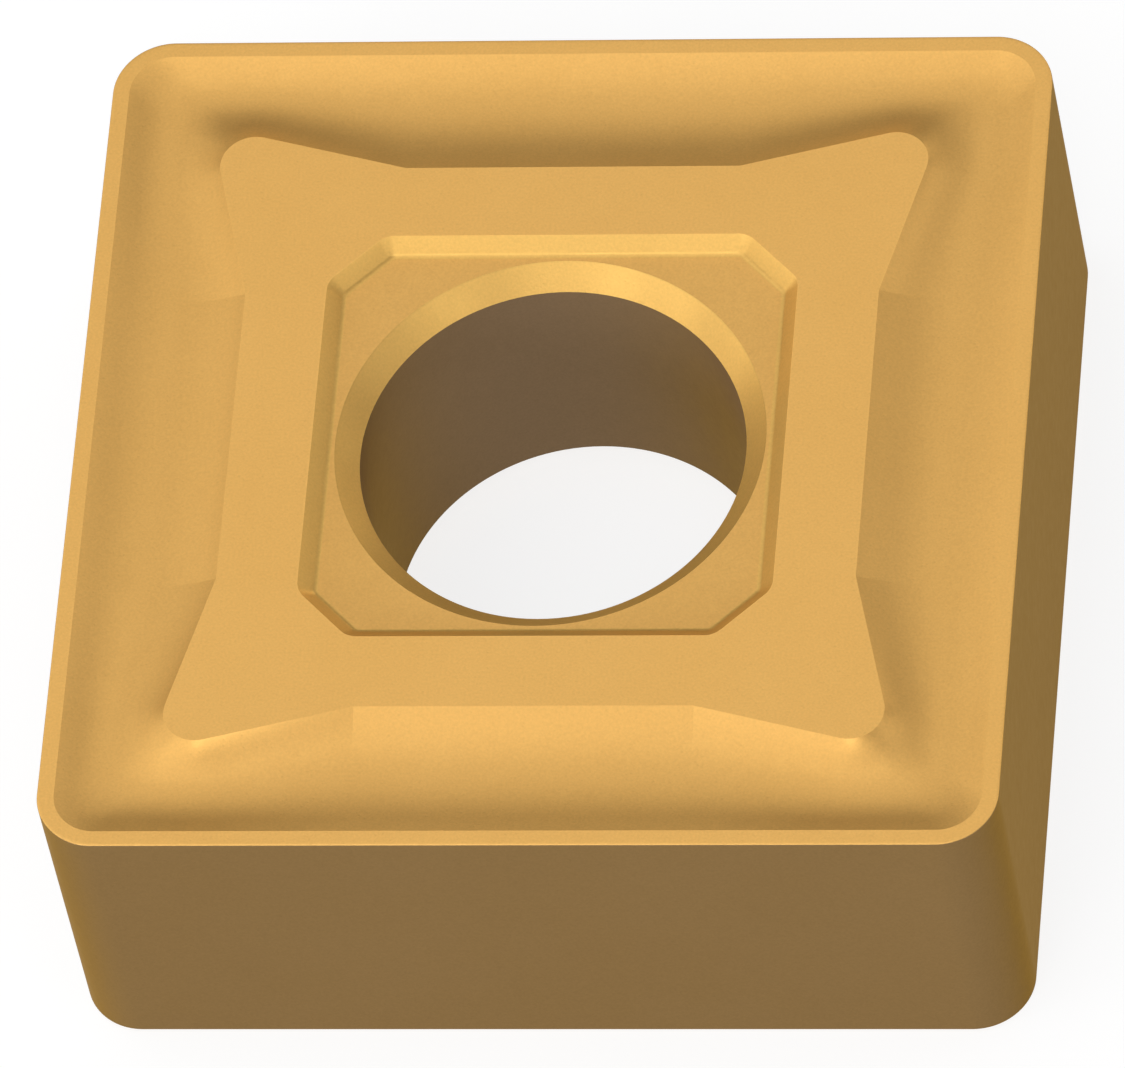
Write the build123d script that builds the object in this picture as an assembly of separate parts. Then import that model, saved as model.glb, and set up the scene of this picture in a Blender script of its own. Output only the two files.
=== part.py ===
from build123d import *
from math import acos, asin, atan2, cos, degrees, hypot, radians, sin, tan
import os

# Square double-sided turning insert of cemented carbide, pressed and sintered in one piece.
# It lies on its lower pad. The origin is the middle of the hole at that pad, and +Z is up.
# Lengths are in millimetres and angles in degrees.

# Body
side = 12.7  # between opposite flanks, also the diameter of the inscribed circle
thickness = 4.76  # from pad to pad
nose_radius = 0.8

# Chip breaker
land_width = 0.225  # flat rim behind the cutting edge
groove_width = 1.875  # from the land to the pad, in the middle of a side
rake_width = 0.25  # straight slope behind the land, in the middle of a side
rake_angle = 14
pad_rise = 0.07  # height of the pad above the cutting edges
pad_straight = 4.5  # length of the pad's edge that runs parallel to the cutting edge
tip_gap = 1.355  # from the land to the tip of a pad arm
tip_radius = 0.45

# Hole and the shallow eight-sided recess round it
bore_diameter = 5.16
bore_chamfer = 0.3
recess_depth = 0.2
recess_wall_angle = 45
recess_rim = 0.04  # flat left between the chamfer and the foot fillet of the recess wall
recess_fillet = 0.1
recess_corner_cut = 0.61  # legs of the cut corners, at the floor
recess_corner_radius = 0.12  # rounding of the eight corners, at the floor

# Modelling values
nose_sections = 25  # sections of the loft round each nose, an odd number so that one is diagonal
overshoot = 0.05  # how far a cutter stands proud of the surface that it cuts

# Worked out from the above
edge_height = thickness - pad_rise
land_half = side / 2 - land_width
land_corner = side / 2 - nose_radius
pad_half = land_half - groove_width
tip_centre = land_half - tip_gap - tip_radius
rake_drop = rake_width * tan(radians(rake_angle))
bore_radius = bore_diameter / 2
floor_height = thickness - recess_depth
fillet_reach = recess_fillet * tan(radians(recess_wall_angle) / 2)
floor_half = bore_radius + bore_chamfer + recess_rim + fillet_reach


def groove_section(land_point, pad_point):
    """Section of the groove between two points in plan: straight rake, then one arc up to the pad."""
    across = pad_point - land_point
    width = across.length
    rake = rake_width * width / groove_width
    slope = atan2(rake_drop, rake)
    run = width - rake
    rise = rake_drop + pad_rise
    exit_slope = slope + 2 * atan2(rise, run)
    radius = hypot(run, rise) / (2 * sin((slope + exit_slope) / 2))
    end_slope = acos(cos(exit_slope) - overshoot / radius)
    centre = Vector(rake + radius * sin(slope), radius * cos(slope) - rake_drop)
    proud = pad_rise + overshoot
    face_line = Line((-proud / tan(slope), proud), (rake, -rake_drop))
    start_angle = degrees(-slope) - 90
    bowl = CenterArc(centre, radius, start_angle, degrees(slope + end_slope))
    lid = Line(bowl @ 1, face_line @ 0)
    plane = Plane(
        origin=(land_point.X, land_point.Y, edge_height),
        x_dir=across,
        z_dir=across.cross(Vector(0, 0, 1)),
    )
    return plane * make_face(face_line + bowl + lid)


def pad_flare():
    """Point where the flared edge of a pad arm meets the round tip, and the angle of the tip's arc there."""
    kink = Vector(pad_half, pad_straight / 2)
    to_tip = Vector(tip_centre, tip_centre) - kink
    bend = asin(tip_radius / to_tip.length)
    direction = atan2(to_tip.Y, to_tip.X) - bend
    reach = to_tip.length * cos(bend)
    meeting = kink + Vector(cos(direction), sin(direction)) * reach
    return meeting, degrees(direction) - 90


def groove_quarter():
    """Cutters of the groove along the +X side and round the nose that follows it."""
    tip_start, tip_angle = pad_flare()
    middle_low = groove_section(Vector(land_half, -pad_straight / 2), Vector(pad_half, -pad_straight / 2))
    middle_high = groove_section(Vector(land_half, pad_straight / 2), Vector(pad_half, pad_straight / 2))
    arm_low = groove_section(Vector(land_half, -tip_start.Y), Vector(tip_start.X, -tip_start.Y))
    arm_high = groove_section(Vector(land_half, tip_start.Y), Vector(tip_start.X, tip_start.Y))
    straight_runs = [
        loft([arm_low, middle_low], ruled=True),
        loft([middle_low, middle_high], ruled=True),
        loft([middle_high, arm_high], ruled=True),
    ]
    land_edge = Wire(
        [
            Line((land_half, tip_start.Y), (land_half, land_corner)).edge(),
            CenterArc((land_corner, land_corner), land_half - land_corner, 0, 90).edge(),
            Line((land_corner, land_half), (tip_start.Y, land_half)).edge(),
        ]
    )
    tip_edge = CenterArc((tip_centre, tip_centre), tip_radius, tip_angle, 90 - 2 * tip_angle)
    steps = [i / (nose_sections - 1) for i in range(nose_sections)]
    nose = loft([groove_section(land_edge @ step, tip_edge @ step) for step in steps])
    return straight_runs + [nose]


def recess_cutter():
    """Recess in the upper pad: a square with cut and rounded corners, sloping walls and a filleted foot."""
    corner = floor_half - recess_corner_cut
    outline = Polygon(
        (floor_half, -corner),
        (floor_half, corner),
        (corner, floor_half),
        (-corner, floor_half),
        (-floor_half, corner),
        (-floor_half, -corner),
        (-corner, -floor_half),
        (corner, -floor_half),
    )
    floor = fillet(outline.vertices(), recess_corner_radius)
    cutter = extrude(Pos(0, 0, floor_height) * floor, recess_depth + overshoot, taper=-recess_wall_angle)
    foot = cutter.faces().sort_by(Axis.Z)[0].edges()
    return fillet(foot, recess_fillet)


def bore_cutter():
    """Hole with a chamfer at each recess floor."""
    wide = bore_radius + bore_chamfer + overshoot
    low = recess_depth - overshoot
    high = floor_height + overshoot
    neck = bore_chamfer + overshoot
    profile = Polyline(
        (0, low), (wide, low), (bore_radius, low + neck), (bore_radius, high - neck), (wide, high), (0, high), (0, low)
    )
    return revolve(Plane.XZ * make_face(profile), Axis.Z)


def carbide_insert():
    """The whole insert: a plain blank, with the same chip breaker and recess cut in both of its faces."""
    blank = Pos(0, 0, pad_rise) * extrude(RectangleRounded(side, side, nose_radius), edge_height - pad_rise)
    plateau_side = 2 * (land_half - overshoot)
    plateau_radius = land_half - land_corner - overshoot
    blank += extrude(RectangleRounded(plateau_side, plateau_side, plateau_radius), thickness)
    top_cutters = [Rot(0, 0, 90 * turn) * cutter for turn in range(4) for cutter in groove_quarter()]
    top_cutters.append(recess_cutter())
    middle = Plane.XY.offset(thickness / 2)
    bottom_cutters = [mirror(cutter, about=middle) for cutter in top_cutters]
    return blank - top_cutters - bottom_cutters - bore_cutter()


os.makedirs("parts", exist_ok=True)
insert = carbide_insert()
export_step(insert, "parts/carbide_insert.step")
print("volume", round(insert.volume, 3), "faces", len(insert.faces()))
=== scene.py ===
from math import asin, atan2, cos, degrees, hypot, pi, radians, sin, tan

import bpy
import numpy as np
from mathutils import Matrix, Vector


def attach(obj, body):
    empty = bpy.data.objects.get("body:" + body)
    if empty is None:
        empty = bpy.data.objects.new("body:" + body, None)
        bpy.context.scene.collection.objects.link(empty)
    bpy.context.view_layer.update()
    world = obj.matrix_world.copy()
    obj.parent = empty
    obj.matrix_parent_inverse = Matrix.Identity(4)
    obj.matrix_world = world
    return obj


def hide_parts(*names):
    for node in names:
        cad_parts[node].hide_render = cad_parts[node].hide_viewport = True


# A square turning insert with a gold hard coating, lying on a pale floor in soft studio light.
# The insert's own lengths are in millimetres, as in the part's source. The camera and studio are in metres.

MM = 0.001

# Body
SIDE = 12.7
THICKNESS = 4.76
NOSE_RADIUS = 0.8

# Chip breaker
LAND_WIDTH = 0.225
GROOVE_WIDTH = 1.875
RAKE_WIDTH = 0.25
RAKE_ANGLE = 14
PAD_RISE = 0.07
PAD_STRAIGHT = 4.5
TIP_GAP = 1.355
TIP_RADIUS = 0.45

# Hole and recess
BORE_DIAMETER = 5.16
BORE_CHAMFER = 0.3
RECESS_DEPTH = 0.2
RECESS_WALL_ANGLE = 45
RECESS_RIM = 0.04
RECESS_FILLET = 0.1
RECESS_CORNER_CUT = 0.61
RECESS_CORNER_RADIUS = 0.12

# Steps along an eighth of every ring, and across the curved bands
MIDDLE_STEPS = 14
ARM_STEPS = 12
NOSE_STEPS = 48
BOWL_STEPS = 26
FOOT_STEPS = 6
HONE_STEPS = 3

HONE = 0.012  # rounding of the cutting edge
RUB = 0.035  # reach of the rubbed strip beside an edge
HOLLOW_SHADE_DEPTH = 0.13  # depth below the cutting edges at which the painted shade in the hollows is at its darkest

# Coating. The flanks and the hole are painted darker than the top, as painted shade, and the chamfer and recess walls
# a yellower gold, as a painted highlight tint. Shades are shares of the colour.
TOP_GOLD = (0.724, 0.414, 0.118, 1)
# painted highlight tint: the chamfer and recess walls get a yellower, slightly lighter gold than the top
RECESS_HIGHLIGHT_GOLD = (0.715, 0.434, 0.120, 1)
# painted shade: the flanks and the hole wall are painted darker and duller than the top
FLANK_SHADED_GOLD = (0.269, 0.170, 0.076, 1)
BORE_SHADED_GOLD = (0.250, 0.170, 0.103, 1)
METAL_SHARE = 0.6
CLOUD_TINT = (0.985, 0.98, 0.965, 1)
# painted shade: how much darker the recess floor and groove bottoms are painted, as shade in the hollows
HOLLOW_PAINTED_SHADE = 0.1
GRAIN_SHADE = 0.05
PORE_SHADE = 0.03
WORN_SHADE = 0.05
GRAIN_SIZE = 0.035
PORE_SIZE = 0.09
PATCH_SIZE = 0.16
CLOUD_SIZE = 1.8
SMOOTH_PATCH = 0.345  # roughness where the coating is smoothest, before grain and wear
ROUGH_PATCH = 0.405
GRAIN_ROUGHNESS = 0.05
WORN_POLISH = 0.1
PORE_HEIGHT = 0.6  # as a share of the grain's height
BUMP_HEIGHT = 0.0012
EDGE_TINT = (0.95, 0.67, 0.28, 1)  # colour of the reflection at a glancing angle

# Camera and studio, in metres and degrees. Brightness is that of a lamp's disc.
CAMERA_PLACE = (0.0357972, -0.1304594, 0.2043270)
CAMERA_TURN = (33.11898, 7.25769, 4.43353)
CAMERA_LENS = 584.2777
SENSOR_WIDTH = 36
FLOOR_REACH = 0.53
FLOOR_SIDES = 64
FLOOR_RIM = 0.045
FLOOR_COLOUR = (0.2, 0.2, 0.2, 1)  # takes the shadow, on top of the glow that makes the floor white
FLOOR_GLOW = 0.82
FLOOR_BOUNCE = (0.04, 0.04, 0.04, 1)  # what the insert's dull reflections get from the floor
LAMP_DISTANCE = 0.5
LAMPS = (  # azimuth, elevation, diameter, brightness
    (0, 12, 0.2, 1.14),
    (30, 12, 0.2, 1.01),
    (60, 12, 0.2, 2.63),
    (180, 12, 0.2, 2.10),
    (210, 12, 0.2, 4.06),
    (240, 12, 0.2, 10.0),
    (135, 30, 0.27, 0.60),
    (165, 30, 0.27, 0.92),
    (315, 30, 0.27, 2.01),
    (345, 30, 0.27, 0.86),
    (30, 52, 0.27, 1.31),
    (90, 52, 0.27, 0.93),
    (120, 52, 0.27, 0.55),
    (150, 52, 0.27, 1.12),
    (210, 52, 0.27, 1.65),
    (270, 52, 0.27, 4.58),
    (90, 76, 0.27, 0.93),
    (180, 76, 0.27, 1.68),
)

# Worked out from the above
EDGE_HEIGHT = THICKNESS - PAD_RISE
LAND_HALF = SIDE / 2 - LAND_WIDTH
LAND_CORNER = SIDE / 2 - NOSE_RADIUS
PAD_HALF = LAND_HALF - GROOVE_WIDTH
TIP_CENTRE = LAND_HALF - TIP_GAP - TIP_RADIUS
RAKE_DROP = RAKE_WIDTH * tan(radians(RAKE_ANGLE))
BORE_RADIUS = BORE_DIAMETER / 2
FLOOR_HEIGHT = THICKNESS - RECESS_DEPTH
FOOT_REACH = RECESS_FILLET * tan(radians(RECESS_WALL_ANGLE) / 2)
FLOOR_HALF = BORE_RADIUS + BORE_CHAMFER + RECESS_RIM + FOOT_REACH
WALL_RISE = tan(radians(RECESS_WALL_ANGLE))
WALL_REACH = RECESS_DEPTH / WALL_RISE


def between(a, b, steps):
    """Points from a to b, without a."""
    share = np.linspace(0, 1, steps + 1)[1:, None]
    return np.asarray(a, float) * (1 - share) + np.asarray(b, float) * share


def arc(centre, radius, start, end, steps):
    """Points of an arc from one angle to the other in degrees, without its first point."""
    angles = np.radians(np.linspace(start, end, steps + 1)[1:])
    return np.asarray(centre, float) + radius * np.column_stack((np.cos(angles), np.sin(angles)))


def rounded_square(half, corner, shares):
    """Eighth of a rounded square, from the middle of a side, at the given lengths along the land's edge."""
    radius = half - corner
    land_radius = LAND_HALF - LAND_CORNER
    points = []
    for length in shares:
        if length <= LAND_CORNER:
            points.append((half, length * corner / LAND_CORNER))
        else:
            angle = (length - LAND_CORNER) / land_radius
            points.append((corner + radius * cos(angle), corner + radius * sin(angle)))
    return np.array(points)


def pad_eighth():
    """Eighth of the pad's outline, and where the pad arm's flare meets its round tip."""
    kink = np.array((PAD_HALF, PAD_STRAIGHT / 2))
    to_tip = np.array((TIP_CENTRE, TIP_CENTRE)) - kink
    distance = hypot(*to_tip)
    direction = atan2(to_tip[1], to_tip[0]) - asin(TIP_RADIUS / distance)
    reach = (distance**2 - TIP_RADIUS**2) ** 0.5
    meeting = kink + reach * np.array((cos(direction), sin(direction)))
    outline = np.vstack(
        (
            [(PAD_HALF, 0)],
            between((PAD_HALF, 0), kink, MIDDLE_STEPS),
            between(kink, meeting, ARM_STEPS),
            arc((TIP_CENTRE, TIP_CENTRE), TIP_RADIUS, degrees(direction) - 90, 45, NOSE_STEPS),
        )
    )
    return outline, meeting


def recess_eighth(offset):
    """Eighth of the recess's eight-sided outline, which turns by 45 degrees at each corner, grown by an offset."""
    turn = tan(radians(45) / 2)
    half = FLOOR_HALF + offset
    corner = FLOOR_HALF - RECESS_CORNER_CUT + offset * turn
    radius = RECESS_CORNER_RADIUS + offset
    start = np.array((half, corner - radius * turn))
    centre = start - (radius, 0)
    end = centre + radius * np.array((cos(radians(45)), sin(radians(45))))
    middle = np.full(2, (half + corner) / 2)
    return np.vstack(
        (
            [(half, 0)],
            between((half, 0), start, MIDDLE_STEPS),
            arc(centre, radius, 0, 45, ARM_STEPS),
            between(end, middle, NOSE_STEPS),
        )
    )


def whole_ring(eighth, height):
    """Ring of points from an eighth of it, mirrored at the diagonal and turned four times."""
    quarter = np.vstack((eighth, eighth[-2:0:-1, ::-1]))
    turns = [quarter @ np.array(((cos(a), sin(a)), (-sin(a), cos(a)))) for a in np.arange(4) * pi / 2]
    plan = np.vstack(turns)
    heights = np.broadcast_to(height, len(eighth))
    around = np.tile(np.concatenate((heights, heights[-2:0:-1])), 4)
    return np.column_stack((plan, around))


def groove_rings(land, pad):
    """Rings across the groove, from the land's edge to the pad's: straight rake, then one arc."""
    width = np.hypot(*(pad - land).T)
    rake = RAKE_WIDTH * width / GROOVE_WIDTH
    slope = np.arctan2(RAKE_DROP, rake)
    rise = RAKE_DROP + PAD_RISE
    run = width - rake
    exit_slope = slope + 2 * np.arctan2(rise, run)
    radius = np.hypot(run, rise) / (2 * np.sin((slope + exit_slope) / 2))
    rings = [(0 * width, 0 * width), (rake, 0 * rake - RAKE_DROP)]
    for step in range(1, BOWL_STEPS + 1):
        angle = -slope + (slope + exit_slope) * step / BOWL_STEPS
        distance = rake + radius * (np.sin(slope) + np.sin(angle))
        height = radius * (np.cos(slope) - np.cos(angle)) - RAKE_DROP
        rings.append((distance, height))
    made = []
    for distance, height in rings:
        plan = land + (pad - land) * (distance / width)[:, None]
        made.append(whole_ring(plan, EDGE_HEIGHT + height))
    return made


def inset(ring, distance):
    """The ring moved sideways in plan, towards the hole where the distance is positive."""
    ahead = np.roll(ring[:, :2], -1, 0) - ring[:, :2]
    behind = ring[:, :2] - np.roll(ring[:, :2], 1, 0)
    ahead /= np.hypot(*ahead.T)[:, None]
    behind /= np.hypot(*behind.T)[:, None]
    along = ahead + behind
    along /= np.hypot(*along.T)[:, None]
    moved = ring.copy()
    moved[:, 0] -= along[:, 1] * distance
    moved[:, 1] += along[:, 0] * distance
    return moved


def upper_rings():
    """Rings of the upper half, from the hole to the outer side, each with its sharpness and its masks, among them the
    masks of painted shade and of a painted highlight tint.
    """
    pad_plan, meeting = pad_eighth()
    nose_length = LAND_CORNER + (LAND_HALF - LAND_CORNER) * pi / 4
    lengths = np.concatenate(
        (
            np.linspace(0, PAD_STRAIGHT / 2, MIDDLE_STEPS + 1),
            np.linspace(PAD_STRAIGHT / 2, meeting[1], ARM_STEPS + 1)[1:],
            np.linspace(meeting[1], nose_length, NOSE_STEPS + 1)[1:],
        )
    )
    land_plan = rounded_square(LAND_HALF, LAND_CORNER, lengths)
    top = recess_eighth(WALL_REACH)
    round_plan = top / np.hypot(*top.T)[:, None]
    mouth = BORE_RADIUS + BORE_CHAMFER
    neck = FLOOR_HEIGHT - BORE_CHAMFER
    rings = []

    def add(points, sharp=False, rub=0.0, groove=False, flank_shade=0.0, bore_shade=0.0, slant_highlight_tint=0.0, hollow_shade=None):
        # share of painted shade in the hollows, growing with depth below the cutting edges
        if hollow_shade is None:
            hollow_shade = np.clip((EDGE_HEIGHT - points[:, 2]) / HOLLOW_SHADE_DEPTH, 0, 1)
        row = {"points": points, "sharp": sharp, "rub": rub, "groove": groove, "flank_shade": flank_shade, "bore_shade": bore_shade}
        rings.append(row | {"slant_highlight_tint": slant_highlight_tint, "hollow_shade": hollow_shade})

    # the hole's wall carries the mask of painted shade
    add(whole_ring(round_plan * BORE_RADIUS, neck - RUB), bore_shade=1.0, hollow_shade=0)
    add(whole_ring(round_plan * BORE_RADIUS, neck), True, 0.5, hollow_shade=0)
    # the chamfer and recess walls carry the mask of the painted highlight tint
    add(whole_ring(round_plan * (BORE_RADIUS + RUB), neck + RUB), slant_highlight_tint=1.0, hollow_shade=0)
    add(whole_ring(round_plan * (mouth - RUB / 2), FLOOR_HEIGHT - RUB / 2), slant_highlight_tint=1.0, hollow_shade=0)
    add(whole_ring(round_plan * mouth, FLOOR_HEIGHT), True, 0.3)
    foot_centre = RECESS_FILLET + FLOOR_HEIGHT
    for step in range(FOOT_STEPS + 1):
        angle = radians(RECESS_WALL_ANGLE) * step / FOOT_STEPS
        offset = RECESS_FILLET * sin(angle) - FOOT_REACH
        slant_highlight_tint = float(step > 0)
        add(whole_ring(recess_eighth(offset), foot_centre - RECESS_FILLET * cos(angle)), slant_highlight_tint=slant_highlight_tint)
    add(whole_ring(recess_eighth(WALL_REACH - RUB / 2), THICKNESS - RUB / 2 * WALL_RISE), slant_highlight_tint=1.0)
    add(whole_ring(top, THICKNESS), True, 1.0)
    add(whole_ring(recess_eighth(WALL_REACH + RUB), THICKNESS))

    groove = groove_rings(land_plan, pad_plan)
    pad_ring = groove[-1]
    add(inset(pad_ring, RUB))
    add(pad_ring, True, 0.8, groove=True)
    for ring in groove[-2:0:-1]:
        add(ring, ring is groove[1], groove=True)
    add(groove[0], True, 0.2, groove=True)
    # the flank carries the mask of painted shade, fading in over the outer half of the hone
    hone_half = SIDE / 2 - HONE
    add(whole_ring(rounded_square(hone_half - RUB, LAND_CORNER, lengths), EDGE_HEIGHT))
    for step in range(HONE_STEPS + 1):
        angle = radians(90) * step / HONE_STEPS
        plan = rounded_square(hone_half + HONE * sin(angle), LAND_CORNER, lengths)
        ring = whole_ring(plan, EDGE_HEIGHT - HONE * (1 - cos(angle)))
        add(ring, rub=1.0, flank_shade=max(0, 2 * step / HONE_STEPS - 1), hollow_shade=0)
    flank_top = EDGE_HEIGHT - HONE - RUB
    add(whole_ring(rounded_square(SIDE / 2, LAND_CORNER, lengths), flank_top), flank_shade=1.0, hollow_shade=0)
    return rings


def insert_mesh():
    """Closed mesh of the whole insert: the upper rings, then their mirror images back to the hole."""
    upper = upper_rings()
    lower = [ring | {"points": ring["points"] * (1, 1, -1) + (0, 0, THICKNESS)} for ring in reversed(upper)]
    rings = upper + lower
    around = len(upper[0]["points"])
    count = len(rings)
    points = np.vstack([ring["points"] for ring in rings]) * MM
    mesh = bpy.data.meshes.new("carbide_insert_skin")
    corners = np.arange(around)
    following = (corners + 1) % around
    faces = []
    for index in range(count):
        here = index * around
        there = (index + 1) % count * around
        faces.append(np.column_stack((here + corners, there + corners, there + following, here + following)))
    faces = np.vstack(faces)
    mesh.from_pydata(points.tolist(), [], faces.tolist())
    mesh.polygons.foreach_set("use_smooth", np.ones(len(faces), bool))

    def per_point(name):
        return np.concatenate([np.broadcast_to(ring[name], around) for ring in rings])

    pairs = np.empty(len(mesh.edges) * 2, np.int32)
    mesh.edges.foreach_get("vertices", pairs)
    pairs = pairs.reshape(-1, 2)
    ring_of, place = pairs // around, pairs % around
    along_ring = ring_of[:, 0] == ring_of[:, 1]
    quarter = around // 4
    from_middle = np.minimum(place[:, 0] % quarter, -place[:, 0] % quarter)
    creased = (place[:, 0] == place[:, 1]) & (from_middle == MIDDLE_STEPS) & per_point("groove")[pairs].all(1)
    sharp_edge = np.where(along_ring, per_point("sharp")[pairs[:, 0]], creased)
    mesh.attributes.new("sharp_edge", "BOOLEAN", "EDGE").data.foreach_set("value", sharp_edge)
    # rub marks worn edges, and the second mask is the share of painted shade in the hollows
    for name in ("rub", "hollow_shade"):
        mesh.attributes.new(name, "FLOAT", "POINT").data.foreach_set("value", per_point(name).astype(np.float32))
    # masks of painted shade on the flanks and in the hole, and of a painted highlight tint on the chamfer and recess
    # walls
    for name in ("slant_highlight_tint", "flank_shade", "bore_shade"):
        share = np.array([ring[name] for ring in rings])
        share = np.repeat(np.maximum(share, np.roll(share, -1)), around)
        mesh.attributes.new(name, "FLOAT", "FACE").data.foreach_set("value", share.astype(np.float32))
    mesh.update()
    return mesh


def feed(tree, socket, value):
    """Link a socket to another node's output, or set it to a plain value."""
    if isinstance(value, bpy.types.NodeSocket):
        tree.links.new(value, socket)
    else:
        socket.default_value = value


def maths(tree, operation, *values):
    made = tree.nodes.new("ShaderNodeMath")
    made.operation = operation
    for socket, value in zip(made.inputs, values):
        feed(tree, socket, value)
    return made.outputs[0]


def spread(tree, value, low, high, out_low, out_high):
    """A value's range from low to high, spread over another range and held at its ends."""
    made = tree.nodes.new("ShaderNodeMapRange")
    for socket, setting in zip(made.inputs, (value, low, high, out_low, out_high)):
        feed(tree, socket, setting)
    return made.outputs[0]


def mix_colour(tree, share, first, second, blend="MIX"):
    made = tree.nodes.new("ShaderNodeMix")
    made.data_type = "RGBA"
    made.blend_type = blend
    for name, value in (("Factor_Float", share), ("A_Color", first), ("B_Color", second)):
        socket = next(s for s in made.inputs if s.identifier == name)
        feed(tree, socket, value)
    return next(s for s in made.outputs if s.identifier == "Result_Color")


def noise(tree, place, size, detail, roughness=0.5):
    """Noise with features of the given size in millimetres."""
    made = tree.nodes.new("ShaderNodeTexNoise")
    feed(tree, made.inputs["Vector"], place)
    made.inputs["Scale"].default_value = 1 / (size * MM)
    made.inputs["Detail"].default_value = detail
    made.inputs["Roughness"].default_value = roughness
    return made.outputs[0]


def mask(tree, name):
    made = tree.nodes.new("ShaderNodeAttribute")
    made.attribute_name = name
    return made.outputs["Fac"]


def coating():
    """Satin gold coating on sintered carbide: grained, with painted shade in the hollows, on the flanks and in the
    hole, and a painted highlight tint on the chamfer and recess walls.
    """
    material = bpy.data.materials.new("gold_coating")
    material.use_nodes = True
    tree = material.node_tree
    surface = tree.nodes["Principled BSDF"]
    place = tree.nodes.new("ShaderNodeTexCoord").outputs["Object"]

    grain = noise(tree, place, GRAIN_SIZE, 3)
    cloud = noise(tree, place, CLOUD_SIZE, 3)
    patches = noise(tree, place, PATCH_SIZE, 4, 0.6)
    pores = tree.nodes.new("ShaderNodeTexVoronoi")
    feed(tree, pores.inputs["Vector"], place)
    pores.inputs["Scale"].default_value = 1 / (PORE_SIZE * MM)
    pore = spread(tree, pores.outputs["Distance"], 0.08, 0.24, 1, 0)
    rubbed = maths(tree, "MULTIPLY", mask(tree, "rub"), maths(tree, "ADD", patches, 0.35))
    worn = spread(tree, rubbed, 0.45, 0.95, 0, 1)

    # painted highlight tint on the chamfer and recess walls
    colour = mix_colour(tree, mask(tree, "slant_highlight_tint"), TOP_GOLD, RECESS_HIGHLIGHT_GOLD)
    # painted shade: darker colour on the flanks and in the hole
    colour = mix_colour(tree, mask(tree, "flank_shade"), colour, FLANK_SHADED_GOLD)
    colour = mix_colour(tree, mask(tree, "bore_shade"), colour, BORE_SHADED_GOLD)
    colour = mix_colour(tree, spread(tree, cloud, 0.35, 0.65, 0, 1), colour, CLOUD_TINT, "MULTIPLY")
    # Painted shade in the hollows, then grain, pores and worn edges, as one grey multiplier
    painted_shade_and_texture = maths(tree, "MULTIPLY", mask(tree, "hollow_shade"), -HOLLOW_PAINTED_SHADE)
    grain_shade = spread(tree, grain, 0.3, 0.7, 1 - GRAIN_SHADE, 1 + GRAIN_SHADE)
    painted_shade_and_texture = maths(tree, "ADD", painted_shade_and_texture, grain_shade)
    painted_shade_and_texture = maths(tree, "SUBTRACT", painted_shade_and_texture, maths(tree, "MULTIPLY", pore, PORE_SHADE))
    painted_shade_and_texture = maths(tree, "ADD", painted_shade_and_texture, maths(tree, "MULTIPLY", worn, WORN_SHADE))
    shade_and_texture_grey = tree.nodes.new("ShaderNodeCombineColor")
    for socket in shade_and_texture_grey.inputs:
        feed(tree, socket, painted_shade_and_texture)
    colour = mix_colour(tree, 1.0, colour, shade_and_texture_grey.outputs[0], "MULTIPLY")
    feed(tree, surface.inputs["Base Color"], colour)

    rough = spread(tree, patches, 0.3, 0.7, SMOOTH_PATCH, ROUGH_PATCH)
    rough = maths(tree, "ADD", rough, maths(tree, "MULTIPLY", grain, GRAIN_ROUGHNESS))
    rough = maths(tree, "SUBTRACT", rough, maths(tree, "MULTIPLY", worn, WORN_POLISH))
    feed(tree, surface.inputs["Roughness"], rough)

    height = maths(tree, "SUBTRACT", grain, maths(tree, "MULTIPLY", pore, PORE_HEIGHT))
    bump = tree.nodes.new("ShaderNodeBump")
    bump.inputs["Distance"].default_value = BUMP_HEIGHT * MM
    bump.inputs["Strength"].default_value = 1.0
    feed(tree, bump.inputs["Height"], height)
    feed(tree, surface.inputs["Normal"], bump.outputs["Normal"])

    surface.inputs["Metallic"].default_value = METAL_SHARE
    surface.inputs["Specular IOR Level"].default_value = 0
    surface.inputs["Specular Tint"].default_value = EDGE_TINT
    return material


def add_camera():
    camera = bpy.data.objects.new("camera", bpy.data.cameras.new("camera"))
    bpy.context.scene.collection.objects.link(camera)
    camera.location = CAMERA_PLACE
    camera.rotation_euler = [radians(turn) for turn in CAMERA_TURN]
    camera.data.sensor_width = SENSOR_WIDTH
    camera.data.lens = CAMERA_LENS
    camera.data.clip_start = 0.01
    camera.data.clip_end = 10
    bpy.context.scene.camera = camera


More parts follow.
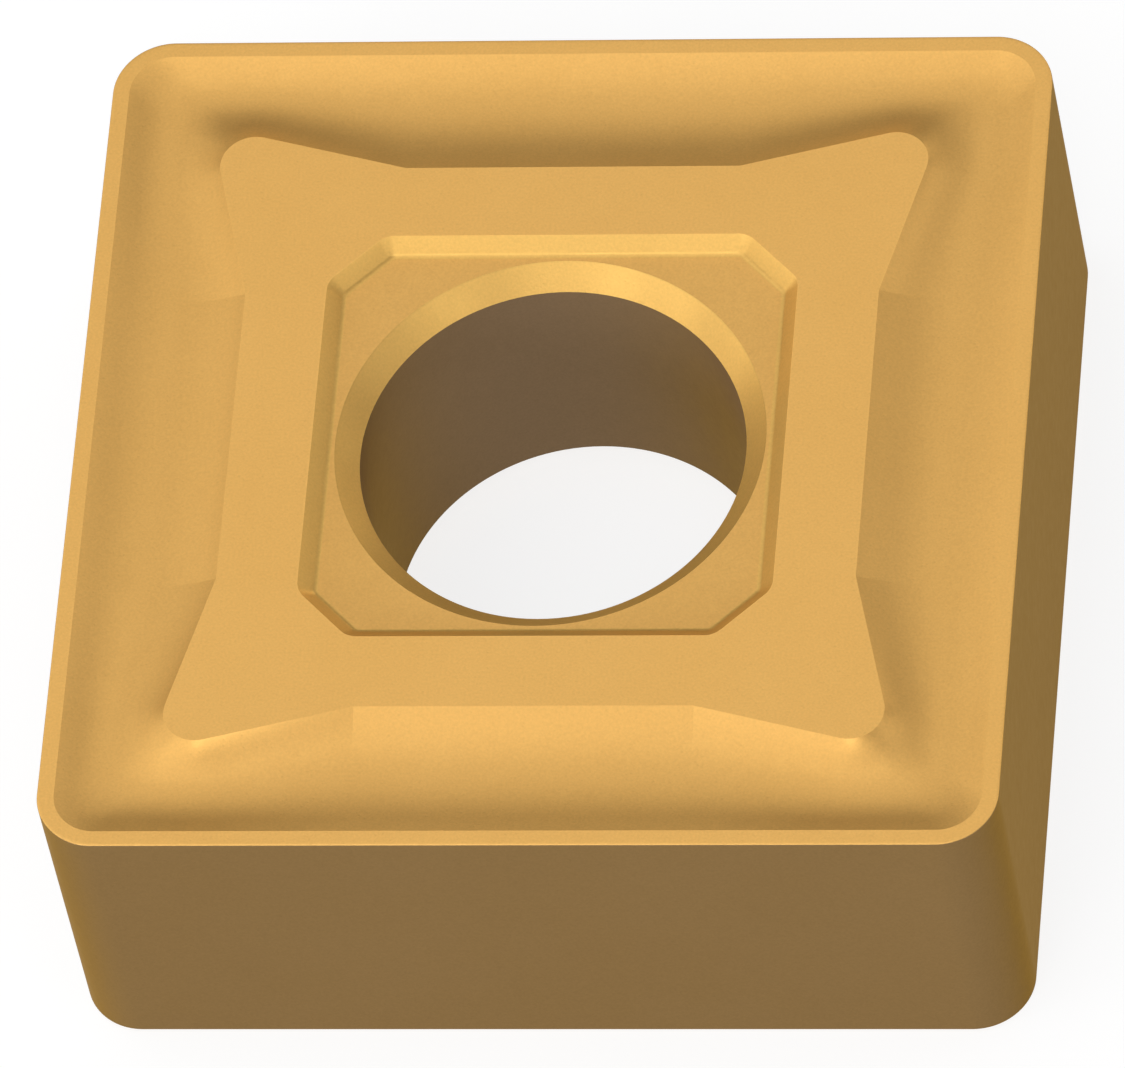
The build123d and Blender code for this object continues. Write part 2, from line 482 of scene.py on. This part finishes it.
def add_floor():
    """Pale round floor with a low rim. It shows as white, keeps the shadow, and throws little light back up."""
    floor_mesh = bpy.data.meshes.new("floor")
    turns = [2 * pi * side / FLOOR_SIDES for side in range(FLOOR_SIDES)]
    outline = [(FLOOR_REACH * cos(turn), FLOOR_REACH * sin(turn)) for turn in turns]
    corners = [(x, y, height) for height in (0, FLOOR_RIM) for x, y in outline]
    faces = [tuple(range(FLOOR_SIDES))]
    for here in range(FLOOR_SIDES):
        ahead = (here + 1) % FLOOR_SIDES
        faces.append((here, ahead, ahead + FLOOR_SIDES, here + FLOOR_SIDES))
    floor_mesh.from_pydata(corners, [], faces)
    floor = bpy.data.objects.new("floor", floor_mesh)
    bpy.context.scene.collection.objects.link(floor)
    material = bpy.data.materials.new("pale_floor")
    material.use_nodes = True
    material.cycles.emission_sampling = "NONE"
    tree = material.node_tree
    tree.nodes.clear()
    path = tree.nodes.new("ShaderNodeLightPath")
    seen = maths(tree, "MAXIMUM", path.outputs["Is Camera Ray"], path.outputs["Is Glossy Ray"])
    seen = maths(tree, "MAXIMUM", seen, path.outputs["Is Transmission Ray"])
    dim = tree.nodes.new("ShaderNodeBsdfDiffuse")
    dim.inputs["Color"].default_value = FLOOR_BOUNCE
    pale = tree.nodes.new("ShaderNodeBsdfDiffuse")
    pale.inputs["Color"].default_value = FLOOR_COLOUR
    glow = tree.nodes.new("ShaderNodeEmission")
    glow.inputs["Strength"].default_value = FLOOR_GLOW
    lit = tree.nodes.new("ShaderNodeAddShader")
    feed(tree, lit.inputs[0], pale.outputs[0])
    feed(tree, lit.inputs[1], glow.outputs[0])
    both = tree.nodes.new("ShaderNodeMixShader")
    for socket, value in zip(both.inputs, (seen, dim.outputs[0], lit.outputs[0])):
        feed(tree, socket, value)
    output = tree.nodes.new("ShaderNodeOutputMaterial")
    feed(tree, output.inputs["Surface"], both.outputs[0])
    floor.data.materials.append(material)


def add_lamp(name, azimuth, elevation, size, brightness):
    """Soft round lamp that faces the insert, with the brightness of its disc, where 1 shows as white."""
    data = bpy.data.lights.new(name, "AREA")
    data.shape = "DISK"
    data.size = size
    data.energy = brightness * pi * pi * (size / 2) ** 2
    lamp = bpy.data.objects.new(name, data)
    bpy.context.scene.collection.objects.link(lamp)
    lamp.visible_camera = False
    a, e = radians(azimuth), radians(elevation)
    away = Vector((cos(a) * cos(e), sin(a) * cos(e), sin(e)))
    lamp.location = away * LAMP_DISTANCE + Vector((0, 0, THICKNESS * MM))
    lamp.rotation_mode = "QUATERNION"
    lamp.rotation_quaternion = away.to_track_quat("Z", "Y")


def add_world():
    """World without light of its own: the lamps and the floor give it all."""
    world = bpy.data.worlds.new("studio")
    bpy.context.scene.world = world
    world.use_nodes = True
    world.node_tree.nodes["Background"].inputs["Strength"].default_value = 0


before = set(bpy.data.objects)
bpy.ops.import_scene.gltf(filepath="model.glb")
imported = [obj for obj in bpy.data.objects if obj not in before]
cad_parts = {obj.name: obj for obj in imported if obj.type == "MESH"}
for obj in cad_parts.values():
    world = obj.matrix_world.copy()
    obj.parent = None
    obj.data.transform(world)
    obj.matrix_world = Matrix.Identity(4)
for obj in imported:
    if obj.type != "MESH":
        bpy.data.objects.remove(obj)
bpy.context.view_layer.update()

insert = bpy.data.objects.new("insert_body", insert_mesh())
bpy.context.scene.collection.objects.link(insert)
insert.data.materials.append(coating())
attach(insert, "root")
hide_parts("carbide_insert")

add_camera()
add_floor()
add_world()
for number, lamp in enumerate(LAMPS, 1):
    add_lamp(f"soft_lamp_{number}", *lamp)
bpy.context.scene.view_settings.view_transform = "Standard"
